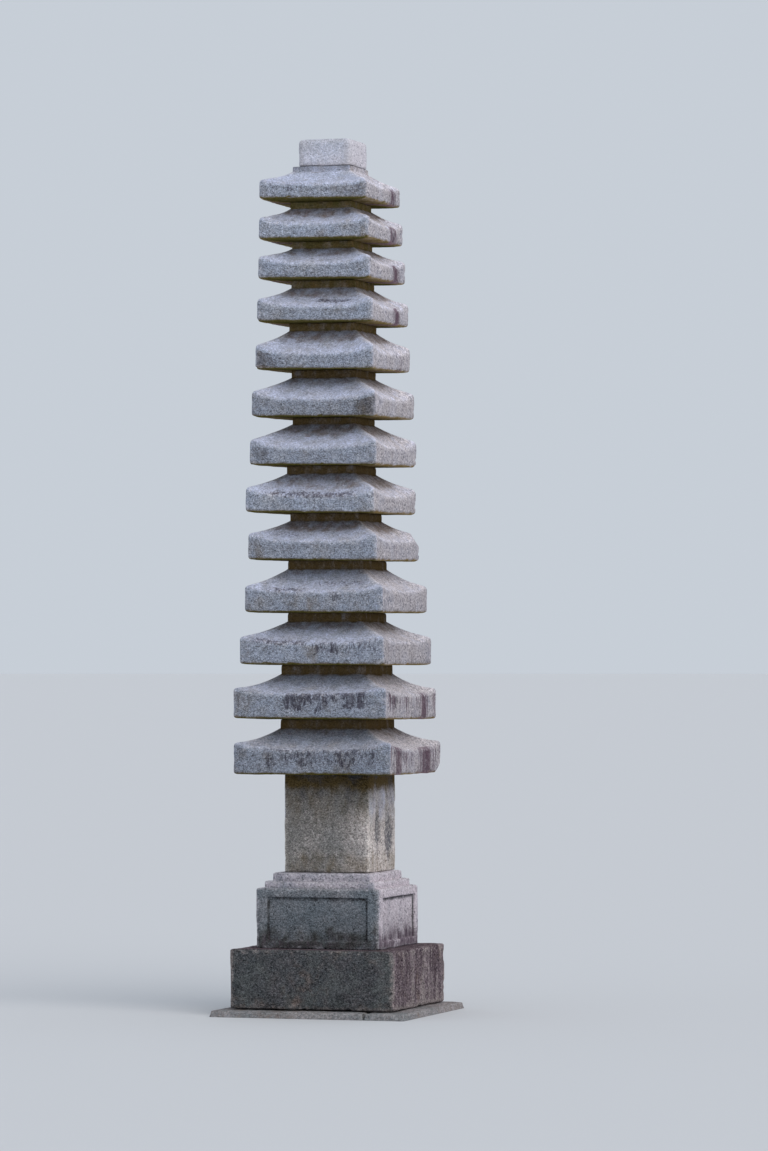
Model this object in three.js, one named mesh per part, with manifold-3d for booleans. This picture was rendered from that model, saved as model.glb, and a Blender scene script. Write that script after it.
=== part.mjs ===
// Thirteen-storey granite garden pagoda whose finial is lost.
// Millimetres, +Z up. The origin lies on the ground under the middle of the footing.
// The front is the -Y side, and +X is on the right of someone who looks at the front.
import * as THREE from 'three';
import { mergeVertices } from 'three/addons/utils/BufferGeometryUtils.js';
import Module from 'manifold-3d';

// Footing: four kerb stones in a ring, each laid past the end of the next
const FOOTING_SIDE = 970;
const FOOTING_HEIGHT = 36;
const KERB_WIDTH = 200;
const KERB_JOINT = 3;

// Plinth: one plain block
const PLINTH_SIDE = 818;
const PLINTH_HEIGHT = 283;

// Base stone: a block with a sunk panel on each face, and two steps on its top
const BASE_SIDE = 617;
const BASE_HEIGHT = 287;
const LOWER_STEP_SIDE = 553;
const LOWER_STEP_HEIGHT = 32;
const UPPER_STEP_SIDE = 490;
const UPPER_STEP_HEIGHT = 40;
const PANEL_STILE = 58;
const PANEL_BOTTOM_RAIL = 38;
const PANEL_TOP_RAIL = 43;
const PANEL_DEPTH = 12;

// First storey: a plain square shaft
const BODY_SIDE = 424;
const BODY_HEIGHT = 468;
const BODY_SLIP = 16;

// Roofs from the lowest to the highest. Each is one stone: a square slab with an upright eave, a hollow
// slope that rises from the eave, and the low body of the next storey. The highest has a pad instead.
// side: eave to eave. eave: the eave's height at mid side. rise: how much higher the top of the eave is
// at its corners. slope: the rise from the eave to the low body. straight: 1 for a straight slope, less
// for a hollow one. slip: how far the stone stands off the line of the stack along X. turn: its turn
// about Z, in degrees. dip: how much the slab is out of level along X and along Y, in millimetres a
// metre, because it was not cut quite true. bodySide and body: the side and the height of the low body.
// bodySlip: how far the low body stands off the middle of its roof along X.
const ROOFS = [
  {
    side: 790, eave: 118, rise: 34, slope: 101, straight: 0.42, slip: 8, turn: 0.1, dip: [0, 0],
    bodySide: 434, body: 43, bodySlip: 0,
  },
  {
    side: 770, eave: 120, rise: 28, slope: 96, straight: 0.32, slip: -1, turn: -0.6, dip: [-3, -6],
    bodySide: 422, body: 43, bodySlip: 9,
  },
  {
    side: 729, eave: 106, rise: 28, slope: 101, straight: 0.6, slip: 5, turn: -0.6, dip: [-5, 2],
    bodySide: 374, body: 42, bodySlip: 5,
  },
  {
    side: 698, eave: 100, rise: 28, slope: 109, straight: 0.6, slip: 9, turn: -0.1, dip: [-4, 6],
    bodySide: 376, body: 41, bodySlip: 5,
  },
  {
    side: 654, eave: 93, rise: 34, slope: 96, straight: 0.65, slip: -1, turn: -0.6, dip: [-14, 12],
    bodySide: 347, body: 37, bodySlip: 10,
  },
  {
    side: 654, eave: 82, rise: 38, slope: 107, straight: 0.7, slip: -14, turn: 0, dip: [-14, 10],
    bodySide: 340, body: 38, bodySlip: 2,
  },
  {
    side: 642, eave: 86, rise: 36, slope: 112, straight: 0.8, slip: 0, turn: 0.2, dip: [-10, 16],
    bodySide: 314, body: 32, bodySlip: 1,
  },
  {
    side: 627, eave: 88, rise: 36, slope: 102, straight: 0.75, slip: 1, turn: 0.3, dip: [-10, 16],
    bodySide: 322, body: 37, bodySlip: 2,
  },
  {
    side: 598, eave: 80, rise: 40, slope: 107, straight: 0.65, slip: 1, turn: 0.5, dip: [-14, 20],
    bodySide: 334, body: 36, bodySlip: 0,
  },
  {
    side: 587, eave: 77, rise: 36, slope: 93, straight: 0.55, slip: 3, turn: 0.6, dip: [-16, 4],
    bodySide: 318, body: 35, bodySlip: 0,
  },
  {
    side: 569, eave: 79, rise: 34, slope: 75, straight: 0.5, slip: 0, turn: 0.2, dip: [-14, 4],
    bodySide: 307, body: 33, bodySlip: 2,
  },
  {
    side: 559, eave: 76, rise: 34, slope: 82, straight: 0.5, slip: -3, turn: 0.5, dip: [-8, -10],
    bodySide: 310, body: 32, bodySlip: 0,
  },
  {
    side: 547, eave: 75, rise: 22, slope: 71, straight: 0.5, slip: -7, turn: 0.3, dip: [-18, -16],
    bodySide: 290, body: 24, bodySlip: 4,
  },
];
const SLOPE_STEPS = [0, 0.3, 0.6, 0.82, 1];
const RISE_POWER = 4;
const EAVE_COLUMNS = [-1, -0.85, -0.6, 0, 0.6, 0.85, 1];
const BEARING_MARGIN = 30;

// Finial base: a square block with a socket in its top for the tenon of the finial
const FINIAL_BASE_SIDE = 268;
const FINIAL_BASE_HEIGHT = 133;
const FINIAL_BASE_SLIP = 9;
const FINIAL_BASE_TURN = -0.5;
const SOCKET_SIDE = 90;
const SOCKET_DEPTH = 60;

// Old age: the stack leans a little, and every edge of a stone is worn
const LEAN_X = -0.0083;
const LEAN_Y = -0.0028;
const EDGE_WEAR = 5;
const CORNER_WEAR = 10;
const FINIAL_BASE_WEAR = 12;

const COLOURS = {
  footing: 0x77736c,
  plinth: 0x6b6468,
  base: 0xa39c97,
  body: 0xaaa292,
  roof: 0x9c9a98,
  finialBase: 0xb0aba6,
};

const wasm = await Module();
wasm.setup();

// A stone with four equal sides. rings holds, from the bottom to the top, what each level of it is:
// half (half its side), height, and where they aren't zero share (of the rise at the corners), dipped
// (how much of the dip it takes) and shift (how far it stands off the middle along X). The stone is a
// lathe form whose columns are moved from the circle onto the square. columns are their places along one
// side, from -1 to 1, and wear is the width lost at each corner.
function fourSided(rings, { columns = [-1, 1], rise = 0, dip = [0, 0], wear = CORNER_WEAR } = {}) {
  const outline = rings.map(({ half, height }) => new THREE.Vector2(half, height));
  const geometry = new THREE.LatheGeometry(outline, 4 * columns.length);
  const position = geometry.getAttribute('position');
  const up = new THREE.Vector3(0, 0, 1);
  for (let index = 0; index < position.count; index += 1) {
    const column = Math.floor(index / rings.length) % (4 * columns.length);
    const { half, height, share = 0, dipped = 0, shift = 0 } = rings[index % rings.length];
    const quarter = Math.floor(column / columns.length);
    const place = columns[column % columns.length];
    const point = new THREE.Vector3(place * Math.max(half - wear, 0), -half, 0);
    point.applyAxisAngle(up, (quarter * Math.PI) / 2);
    const lift = share * rise * Math.abs(place) ** RISE_POWER;
    const fall = (dipped * (dip[0] * point.x + dip[1] * point.y)) / 1000;
    position.setXYZ(index, point.x + shift, point.y, height + lift + fall);
  }
  geometry.computeVertexNormals();
  return geometry;
}

// The levels of a block with worn edges and flat ends, its foot at height zero
function block(side, height, topWear = EDGE_WEAR) {
  const half = side / 2;
  return [
    { half: 0, height: 0 },
    { half: half - EDGE_WEAR, height: 0 },
    { half, height: EDGE_WEAR },
    { half, height: height - topWear },
    { half: half - topWear, height },
    { half: 0, height },
  ];
}

// The closed solid of a geometry, without the triangles that have no area
function solidOf(geometry) {
  const bare = geometry.clone();
  bare.deleteAttribute('normal');
  bare.deleteAttribute('uv');
  const merged = mergeVertices(bare, 1e-3);
  const corners = merged.getIndex().array;
  const kept = [];
  for (let k = 0; k < corners.length; k += 3) {
    const [a, b, c] = corners.slice(k, k + 3);
    if (a !== b && b !== c && c !== a) {
      kept.push(a, b, c);
    }
  }
  return new wasm.Manifold(new wasm.Mesh({
    numProp: 3,
    vertProperties: new Float32Array(merged.getAttribute('position').array),
    triVerts: new Uint32Array(kept),
  }));
}

function geometryOf(solid) {
  const mesh = solid.getMesh();
  const geometry = new THREE.BufferGeometry();
  geometry.setAttribute('position', new THREE.BufferAttribute(mesh.vertProperties, 3));
  geometry.setIndex(new THREE.BufferAttribute(mesh.triVerts, 1));
  geometry.computeVertexNormals();
  return geometry;
}

function kerbGeometry() {
  const length = FOOTING_SIDE - KERB_WIDTH - KERB_JOINT;
  const outline = new THREE.Shape();
  outline.moveTo(EDGE_WEAR, EDGE_WEAR);
  outline.lineTo(length - EDGE_WEAR, EDGE_WEAR);
  outline.lineTo(length - EDGE_WEAR, KERB_WIDTH - EDGE_WEAR);
  outline.lineTo(EDGE_WEAR, KERB_WIDTH - EDGE_WEAR);
  outline.closePath();
  const geometry = new THREE.ExtrudeGeometry(outline, {
    depth: FOOTING_HEIGHT - 2 * EDGE_WEAR,
    bevelThickness: EDGE_WEAR,
    bevelSize: EDGE_WEAR,
    bevelSegments: 1,
  });
  geometry.translate(-FOOTING_SIDE / 2, -FOOTING_SIDE / 2, EDGE_WEAR);
  return geometry;
}

function baseGeometry() {
  const lowerTop = BASE_HEIGHT + LOWER_STEP_HEIGHT;
  const upperTop = lowerTop + UPPER_STEP_HEIGHT;
  const rings = block(BASE_SIDE, BASE_HEIGHT).slice(0, -1);
  rings.push({ half: LOWER_STEP_SIDE / 2, height: BASE_HEIGHT });
  rings.push({ half: LOWER_STEP_SIDE / 2, height: lowerTop - EDGE_WEAR });
  rings.push({ half: LOWER_STEP_SIDE / 2 - EDGE_WEAR, height: lowerTop });
  rings.push({ half: UPPER_STEP_SIDE / 2, height: lowerTop });
  rings.push({ half: UPPER_STEP_SIDE / 2, height: upperTop - EDGE_WEAR });
  rings.push({ half: UPPER_STEP_SIDE / 2 - EDGE_WEAR, height: upperTop });
  rings.push({ half: 0, height: upperTop });
  let stone = solidOf(fourSided(rings));
  const panelWidth = BASE_SIDE - 2 * PANEL_STILE;
  const panelHeight = BASE_HEIGHT - PANEL_BOTTOM_RAIL - PANEL_TOP_RAIL;
  for (let quarter = 0; quarter < 4; quarter += 1) {
    const cut = new THREE.BoxGeometry(panelWidth, 2 * PANEL_DEPTH, panelHeight);
    cut.translate(0, -BASE_SIDE / 2, PANEL_BOTTOM_RAIL + panelHeight / 2);
    cut.rotateZ((quarter * Math.PI) / 2);
    stone = stone.subtract(solidOf(cut));
  }
  return geometryOf(stone);
}

// A roof stone. seatSide is the side of what it rests on, where its underside stays level.
function roofGeometry(size, seatSide) {
  const { side, eave, rise, slope, straight, dip, bodySide, body, bodySlip } = size;
  const half = side / 2;
  const bodyHalf = bodySide / 2;
  const foot = eave + slope;
  const rings = [
    { half: 0, height: 0 },
    { half: seatSide / 2 + BEARING_MARGIN, height: 0 },
    { half: half - EDGE_WEAR, height: 0, dipped: 1 },
    { half, height: EDGE_WEAR, dipped: 1 },
    { half, height: eave - EDGE_WEAR, dipped: 1, share: 1 },
  ];
  for (const step of SLOPE_STEPS) {
    const climb = straight * step + (1 - straight) * step * step;
    rings.push({
      half: THREE.MathUtils.lerp(half - EDGE_WEAR, bodyHalf, step),
      height: eave + slope * climb,
      share: 1 - step,
      dipped: 1 - step,
      shift: bodySlip * step,
    });
  }
  rings.push({ half: bodyHalf, height: foot + body - EDGE_WEAR, shift: bodySlip });
  rings.push({ half: bodyHalf - EDGE_WEAR, height: foot + body, shift: bodySlip });
  rings.push({ half: 0, height: foot + body, shift: bodySlip });
  return fourSided(rings, { columns: EAVE_COLUMNS, rise, dip });
}

function finialBaseGeometry() {
  const rings = block(FINIAL_BASE_SIDE, FINIAL_BASE_HEIGHT, FINIAL_BASE_WEAR).slice(0, -1);
  rings.push({ half: SOCKET_SIDE / 2, height: FINIAL_BASE_HEIGHT });
  rings.push({ half: SOCKET_SIDE / 2, height: FINIAL_BASE_HEIGHT - SOCKET_DEPTH });
  rings.push({ half: 0, height: FINIAL_BASE_HEIGHT - SOCKET_DEPTH });
  return fourSided(rings);
}

const pagoda = new THREE.Group();

function stone(name, geometry, colour) {
  const material = new THREE.MeshStandardMaterial({ color: colour, roughness: 0.92, metalness: 0 });
  const mesh = new THREE.Mesh(geometry, material);
  mesh.name = name;
  return mesh;
}

// Sets a stone on what has been built so far, with the lean of the stack, and returns the new top
function lay(mesh, foot, height, slip = 0, turn = 0) {
  mesh.position.set(LEAN_X * foot + slip, LEAN_Y * foot, foot);
  mesh.rotation.z = THREE.MathUtils.degToRad(turn);
  pagoda.add(mesh);
  return foot + height;
}

['front', 'right', 'back', 'left'].forEach((side, quarter) => {
  const kerb = stone(`kerb_${side}`, kerbGeometry(), COLOURS.footing);
  kerb.rotation.z = (quarter * Math.PI) / 2;
  pagoda.add(kerb);
});

let top = FOOTING_HEIGHT;
const plinth = stone('plinth', fourSided(block(PLINTH_SIDE, PLINTH_HEIGHT)), COLOURS.plinth);
top = lay(plinth, top, PLINTH_HEIGHT);

const base = stone('base_stone', baseGeometry(), COLOURS.base);
top = lay(base, top, BASE_HEIGHT + LOWER_STEP_HEIGHT + UPPER_STEP_HEIGHT);

const body = stone('first_storey_body', fourSided(block(BODY_SIDE, BODY_HEIGHT)), COLOURS.body);
top = lay(body, top, BODY_HEIGHT, BODY_SLIP);

let seatSide = BODY_SIDE;
ROOFS.forEach((size, storey) => {
  const name = `roof_${String(storey + 1).padStart(2, '0')}`;
  const roof = stone(name, roofGeometry(size, seatSide), COLOURS.roof);
  top = lay(roof, top, size.eave + size.slope + size.body, size.slip, size.turn);
  seatSide = size.bodySide;
});

const finialBase = stone('finial_base', finialBaseGeometry(), COLOURS.finialBase);
top = lay(finialBase, top, FINIAL_BASE_HEIGHT, FINIAL_BASE_SLIP, FINIAL_BASE_TURN);

export default pagoda;
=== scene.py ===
# %% [markdown]
# # A thirteen-storey stone pagoda
# The real object is a tall pagoda: a stack of solid granite blocks that are held by nothing but their
# own weight. From the bottom up there is a ring of kerbs, a plinth, a base stone with sunk panels, the
# first-storey body, thirteen roofs that each carry the low body of the next storey, and a small square
# block that once held a finial.
# Every block here is one surface: a walk round the stone, times a climb from its foot to its top. All of
# them are worked out with numpy, worn with noise, and painted with marks that the materials read.

# %% Load the solids
import math
from itertools import product

import bpy
import numpy as np
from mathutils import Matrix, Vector


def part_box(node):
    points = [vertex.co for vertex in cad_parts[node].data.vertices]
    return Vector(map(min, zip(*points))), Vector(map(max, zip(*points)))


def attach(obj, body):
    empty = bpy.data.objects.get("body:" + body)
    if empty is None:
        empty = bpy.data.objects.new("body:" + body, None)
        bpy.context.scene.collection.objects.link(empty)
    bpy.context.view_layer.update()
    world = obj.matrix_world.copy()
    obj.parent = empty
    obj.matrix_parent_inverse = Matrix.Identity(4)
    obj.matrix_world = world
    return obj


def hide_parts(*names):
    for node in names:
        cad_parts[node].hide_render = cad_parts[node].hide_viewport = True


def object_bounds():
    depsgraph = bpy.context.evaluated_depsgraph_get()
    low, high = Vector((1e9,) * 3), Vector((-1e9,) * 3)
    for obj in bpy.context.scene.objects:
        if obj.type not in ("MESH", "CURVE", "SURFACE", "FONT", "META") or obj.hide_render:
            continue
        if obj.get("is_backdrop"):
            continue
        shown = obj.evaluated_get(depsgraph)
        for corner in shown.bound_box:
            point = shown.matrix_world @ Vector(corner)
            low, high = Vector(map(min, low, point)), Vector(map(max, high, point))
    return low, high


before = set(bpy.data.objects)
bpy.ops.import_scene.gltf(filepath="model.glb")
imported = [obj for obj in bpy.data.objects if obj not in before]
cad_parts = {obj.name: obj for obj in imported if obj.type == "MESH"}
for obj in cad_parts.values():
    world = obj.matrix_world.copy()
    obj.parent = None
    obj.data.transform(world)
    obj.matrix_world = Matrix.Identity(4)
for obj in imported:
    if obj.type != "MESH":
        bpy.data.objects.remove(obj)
solid_low, solid_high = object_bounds()
print("solids:", len(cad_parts), "height in metres:", round(solid_high.z, 3))

# %% [markdown]
# ## Where the camera stands
# The photograph was taken from far away with a long lens, a little right of the front. Far away means
# that the sides of the tower stay almost parallel. The camera stands at eye height and looks up by less
# than a degree. A lens is given in millimetres for a sensor 36 mm along the picture's long side, so a
# focal length measured in pixels has to be scaled to that.

# %% Camera
AZIMUTH = math.radians(18.0)
DISTANCE = 24.96
EYE_HEIGHT = 1.725
STEP_TO_THE_SIDE = 0.2193
LOOK_UP = math.radians(0.85)
FOCAL_LENGTH_PX = 5200
PICTURE_HEIGHT_PX = 1151
SENSOR_LONG_SIDE = 36.0
SIGHT = 900.0

ahead = Vector((-math.sin(AZIMUTH), math.cos(AZIMUTH), 0))
to_the_right = Vector((math.cos(AZIMUTH), math.sin(AZIMUTH), 0))
upward = Vector((0, 0, 1))

camera = bpy.data.objects.new("camera", bpy.data.cameras.new("camera"))
bpy.context.scene.collection.objects.link(camera)
camera.location = STEP_TO_THE_SIDE * to_the_right - DISTANCE * ahead + EYE_HEIGHT * upward
gaze = math.cos(LOOK_UP) * ahead + math.sin(LOOK_UP) * upward
camera.rotation_euler = gaze.to_track_quat("-Z", "Y").to_euler()
camera.data.sensor_width = SENSOR_LONG_SIDE
camera.data.lens = FOCAL_LENGTH_PX * SENSOR_LONG_SIDE / PICTURE_HEIGHT_PX
camera.data.clip_end = SIGHT
bpy.context.scene.camera = camera
print("lens in mm:", round(camera.data.lens, 1))

# %% [markdown]
# ## Floor
# The tower stands on a plain pale floor, which only catches its shadow. A square plane would do, but one
# very wide disc has its rim close to the horizon from any side.

# %% Floor
FLOOR_RADIUS = 400.0
FLOOR_CORNERS = 96
FLOOR_COLOUR = (0.60, 0.615, 0.64, 1)
FLOOR_ROUGHNESS = 0.9


def floor_disc(radius, corners):
    """One flat face whose corners lie on the circle x = r cos a, y = r sin a, at height 0."""
    angle = np.linspace(0, 2 * math.pi, corners, endpoint=False)
    rim = np.column_stack([radius * np.cos(angle), radius * np.sin(angle), np.zeros(corners)])
    mesh = bpy.data.meshes.new("floor")
    mesh.from_pydata(rim.tolist(), [], [list(range(corners))])
    return mesh


floor = bpy.data.objects.new("floor", floor_disc(FLOOR_RADIUS, FLOOR_CORNERS))
bpy.context.scene.collection.objects.link(floor)
floor_paint = bpy.data.materials.new("pale_floor")
floor_paint.use_nodes = True
floor_shader = floor_paint.node_tree.nodes["Principled BSDF"]
floor_shader.inputs["Base Color"].default_value = FLOOR_COLOUR
floor_shader.inputs["Roughness"].default_value = FLOOR_ROUGHNESS
floor.data.materials.append(floor_paint)
floor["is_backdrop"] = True
print("floor faces:", len(floor.data.polygons))

# %% [markdown]
# ## Light
# Bright, even light shows carved stone without hard shadows. Here it comes from a pale, slightly blue
# world, which reaches every face, and from one warm sun lamp, as wide as a bank of thin cloud, which
# favours the right-hand sides.

# %% Lights
WORLD_COLOUR = (0.84, 0.91, 1.0, 1)
WORLD_STRENGTH = 0.68
LAMP_COLOUR = (1.0, 0.95, 0.90)
LAMP_STRENGTH = 1.7
LAMP_PLACE = (6, -3, 7)
LAMP_DIRECTION = (0.62, -0.46, 0.63)
LAMP_WIDTH = math.radians(50)

world = bpy.data.worlds.new("pale_sky")
world.use_nodes = True
world.node_tree.nodes["Background"].inputs["Color"].default_value = WORLD_COLOUR
world.node_tree.nodes["Background"].inputs["Strength"].default_value = WORLD_STRENGTH
bpy.context.scene.world = world

soft_sun = bpy.data.lights.new("soft_sun", "SUN")
soft_sun.energy = LAMP_STRENGTH
soft_sun.color = LAMP_COLOUR
soft_sun.angle = LAMP_WIDTH
sun_holder = bpy.data.objects.new("soft_sun", soft_sun)
sun_holder.location = LAMP_PLACE
sun_holder.rotation_euler = Vector(LAMP_DIRECTION).to_track_quat("Z", "Y").to_euler()
bpy.context.scene.collection.objects.link(sun_holder)
bpy.context.scene.view_settings.view_transform = "Standard"

# %% [markdown]
# ## Noise
# Old stone is never even. Value noise gives a smooth random number for any point in space: random
# numbers sit on the corners of a grid of cubes, and between them they are blended. The random numbers
# come from a seeded generator, so every run gives the same stone.

# %% Noise
GRID = 64
CORNER_NUMBERS = np.random.default_rng(1307).uniform(-1, 1, (GRID, GRID, GRID))


def noise(points, size):
    """Value noise from -1 to 1. With s the point divided by size, f its fraction in its cube and
    w = f f (3 - 2 f), it is the sum over the cube's eight corners of their number times the product
    of w or 1 - w along each axis."""
    scaled = points / size
    cell = np.floor(scaled).astype(int)
    fraction = scaled - cell
    weight = fraction * fraction * (3 - 2 * fraction)
    total = np.zeros(points.shape[:-1])
    for corner in product((0, 1), repeat=3):
        share = np.prod(np.where(corner, weight, 1 - weight), axis=-1)
        i, j, k = np.moveaxis((cell + corner) % GRID, -1, 0)
        total += share * CORNER_NUMBERS[i, j, k]
    return total


def ramp(value, low, high):
    """0 at low, 1 at high, and t t (3 - 2 t) between them. With low above high it falls instead."""
    t = np.clip((value - low) / (high - low), 0, 1)
    return t * t * (3 - 2 * t)


def bump(value, centre, width):
    """A soft hill: e to the power of minus the squared distance from centre, in widths."""
    return np.exp(-(((value - centre) / width) ** 2))


print("noise at the origin:", round(float(noise(np.zeros((1, 3)), 0.1)[0]), 3))

# %% [markdown]
# ## One way to make every stone
# Seen from above each stone is a square or a rectangle with rounded corners. Seen from the side it is a
# profile. The walk round the stone gives the columns of a grid, and the profile gives its rings, so a
# whole stone is one grid of points. A column is kept as an anchor and a normal: the anchor, times the
# half side less the corner's radius, plus the normal times the radius, is a point of the outline.

# %% Walk round a stone
MM = 0.001
ARC_STEPS = 4
FRONT, RIGHT = 0, 1


def walk(places):
    """Columns of one walk round a stone, anticlockwise from above, from the front side on.
    Each side has the places -1 to 1 and then the steps of a quarter circle. The other three sides are
    the first one turned by 90 degrees: (x, y) becomes (-y, x). The back counts as a front face and the
    left as a right one, because their stains repeat."""
    angle = np.linspace(0, math.pi / 2, ARC_STEPS + 2)[1:-1]
    anchor = np.vstack([np.column_stack([places, -np.ones(len(places))]), np.tile([1, -1], (ARC_STEPS, 1))])
    normal = np.vstack([np.tile([0, -1], (len(places), 1)), np.column_stack([np.sin(angle), -np.cos(angle)])])
    along = np.concatenate([places, np.ones(ARC_STEPS)])
    anchors, normals = [anchor], [normal]
    for _ in range(3):
        anchors.append(np.column_stack([-anchors[-1][:, 1], anchors[-1][:, 0]]))
        normals.append(np.column_stack([-normals[-1][:, 1], normals[-1][:, 0]]))
    return {
        "anchor": np.vstack(anchors),
        "normal": np.vstack(normals),
        "along": np.tile(along, 4),
        "face": np.repeat([FRONT, RIGHT, FRONT, RIGHT], len(along)),
    }


ROOF_WALK = walk(np.linspace(-1, 1, 88))
print("columns round a roof:", len(ROOF_WALK["along"]))

# %% [markdown]
# ## The profile of a stone
# Each ring of the profile holds what the outline is at that level: its half side, the radius of its
# corners and its height. A roof needs more: how much of the rise at the corners and of the stone's tilt
# the ring takes, how far it stands off the middle, and how far up the slope it is. A mason's edges are
# never sharp, so every corner of the profile is rounded with a small curve.

# %% Climb up a stone
FIELDS = ("half", "corner", "height", "rise", "tilt", "shift", "climb")
EDGE_STEPS = 4


def ring(**values):
    """One ring, with 0 for every field that isn't named."""
    return np.array([values.get(name, 0.0) for name in FIELDS], float)


def climb_up(rings, rounding, steps):
    """All rings from the foot to the top, each field as a column of numbers. Between two given rings a
    stretch is divided evenly into steps, and a corner is the curve
    (1 - t)(1 - t) a + 2 t (1 - t) corner + t t b, where a and b lie the rounding's length before and
    after it."""
    rings = np.array(rings)
    lengths = np.hypot(np.diff(rings[:, 0]), np.diff(rings[:, 2]))
    made = [rings[:1]]
    for k, length in enumerate(lengths):
        first, last = rounding[k] / length, 1 - rounding[k + 1] / length
        t = np.linspace(first, last, steps[k] + 1)[:, None]
        stretch = rings[k] + (rings[k + 1] - rings[k]) * t
        made.append(stretch if rounding[k] else stretch[1:])
        if rounding[k + 1]:
            after = rings[k + 1] + (rings[k + 2] - rings[k + 1]) * rounding[k + 1] / lengths[k + 1]
            t = np.linspace(0, 1, EDGE_STEPS + 2)[1:-1, None]
            made.append((1 - t) ** 2 * stretch[-1] + 2 * t * (1 - t) * rings[k + 1] + t**2 * after)
    return dict(zip(FIELDS, np.vstack(made).T[..., None]))


def block_rings(outline, core, rounding, steps):
    """Rings of a plain block. The outline is a list of (half side, corner radius, height). Below and
    above it the stone is drawn in to a small core, where the mesh is closed."""
    given = [ring(half=half, corner=corner, height=height) for half, corner, height in outline]
    foot, top = ring(half=core, height=outline[0][2]), ring(half=core, height=outline[-1][2])
    return climb_up([foot, *given, top], (0, *rounding, 0), steps)


# %% [markdown]
# ## From rings and columns to points
# Every ring meets every column once. numpy does this for all of them together: numbers that belong to
# rings stand in a column, numbers that belong to columns lie in a row, and their product is the grid.

# %% Put rings and columns together
RISE_POWER = 4


def surface(rings, columns, rise=0.0, dip=(0.0, 0.0), stretch=(0.0, 0.0)):
    """Grid of points: rings times columns. x and y are anchor times (half + stretch - corner) plus
    normal times corner. z is the height, plus the rise times the fourth power of the place along the
    side, plus the tilt times (dip_x x + dip_y y)."""
    corner = np.minimum(rings["corner"], rings["half"])
    inner = (rings["half"] - corner)[..., None] + np.array(stretch)
    plan = columns["anchor"] * inner + columns["normal"] * corner[..., None]
    lift = rings["rise"] * rise * np.abs(columns["along"]) ** RISE_POWER
    fall = rings["tilt"] * (plan @ np.array(dip))
    return np.stack([plan[..., 0] + rings["shift"], plan[..., 1], rings["height"] + lift + fall], axis=-1)


def outward(points):
    """Unit normals of a grid: the step to the next column crossed with the step to the next ring."""
    onward = np.roll(points, -1, axis=1) - np.roll(points, 1, axis=1)
    cross = np.cross(onward, np.gradient(points, axis=0))
    return cross / np.maximum(np.linalg.norm(cross, axis=-1, keepdims=True), 1e-12)


LEAN = (-0.0083, -0.0028)


def place(points, foot, slip=0.0, turn=0.0):
    """Turns a stone about its own middle, then sets it down where the stack stands at that height."""
    cos, sin = math.cos(turn), math.sin(turn)
    x, y, z = np.moveaxis(points, -1, 0)
    moved = np.stack([x * cos - y * sin, x * sin + y * cos, z], axis=-1)
    return moved + np.array([LEAN[0] * foot + slip, LEAN[1] * foot, foot])


print("lean in mm over the whole height:", [round(1000 * n * solid_high.z) for n in LEAN])

# %% [markdown]
# ## Wear
# Every face has slow waves from the mason's chisel and small dimples from the bush hammer. Rain and
# frost rub the edges back, corners most of all, and here and there a flake has jumped off. The faces
# that stones rest on stay flat, because nothing wears them. It could be sculpted by hand, but noise does
# it for all the stones in the same way.

# %% Wear a stone
WAVE_SIZES = (0.17, 0.055, 0.020)
WAVE_DEPTHS = (1.4 * MM, 1.2 * MM, 0.7 * MM)
RUB_SIZE = 0.08
FLAKE_SIZES = (0.045, 0.017)
FLAKES_FROM, FLAKES_TO = 0.45, 0.95
CORNER_EDGE = 16 * MM


def near_edges(rings, edges, width):
    """How near each ring is to the nearest of the profile's outer edges, from 0 to 1."""
    gaps = [np.hypot(rings["half"] - half, rings["height"] - height) for half, height in edges]
    return bump(np.min(gaps, axis=0), 0, width)


def near_corner(columns, half, width=CORNER_EDGE):
    """How near each column is to an upright edge of a stone with this half side."""
    return bump((1 - np.abs(columns["along"])) * half, 0, width)


def near_rim(rings, half, start, end):
    """0 on rings that are inside this half side by start or more, 1 on those inside it by end or less."""
    return ramp(rings["half"], half - start, half - end)


def block_edges(rings, columns, half, height, width, upright, corner=CORNER_EDGE):
    """How near each point is to an edge of a block: the lower, the upper or an upright one."""
    level = near_edges(rings, [(half, 0), (half, height)], width)
    return np.maximum(level, upright * near_corner(columns, half, corner))


def wear(points, edge, free, rub=2 * MM, flake=5 * MM, waves=1.0, inward_only=False):
    """Moves points along their normals by the waves, and inward by the rub and the flakes. free is 0
    where stones rest. With inward_only the waves are lowered, so that no point leaves the true form."""
    base = 1.0 if inward_only else 0.0
    depth = waves * sum(d * (base + noise(points, s)) for d, s in zip(WAVE_DEPTHS, WAVE_SIZES))
    depth = depth + edge * rub * (1 + noise(points, RUB_SIZE))
    loose = noise(points, FLAKE_SIZES[0]) + 0.6 * noise(points, FLAKE_SIZES[1])
    depth = depth + edge * flake * ramp(loose, FLAKES_FROM, FLAKES_TO)
    return points - outward(points) * (free * depth)[..., None]


def chip(points, at, towards, size):
    """A broken corner. Whatever stands beyond the plane through at, square to towards, is pulled back
    to it, and the plane is uneven by up to a tenth of size."""
    direction = np.array(towards) / np.linalg.norm(towards)
    beyond = (points - np.array(at)) @ direction + 0.1 * size * noise(points, 0.02)
    return points - np.maximum(beyond, 0)[..., None] * direction


print("depth of the waves in mm:", round(1000 * sum(WAVE_DEPTHS), 1))

# %% [markdown]
# ## From grid to mesh
# A grid becomes a mesh of four-sided faces that closes on itself round the stone. The first and last
# rings are closed with a fan of triangles. The marks go along as one number at each point, under a name
# that the material looks up.

# %% Build a mesh
MARKS = ("lichen", "clean", "crust", "ochre", "moss", "grime_and_shade", "hooks", "drip", "worn", "tone")
pieces = {}


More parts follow.
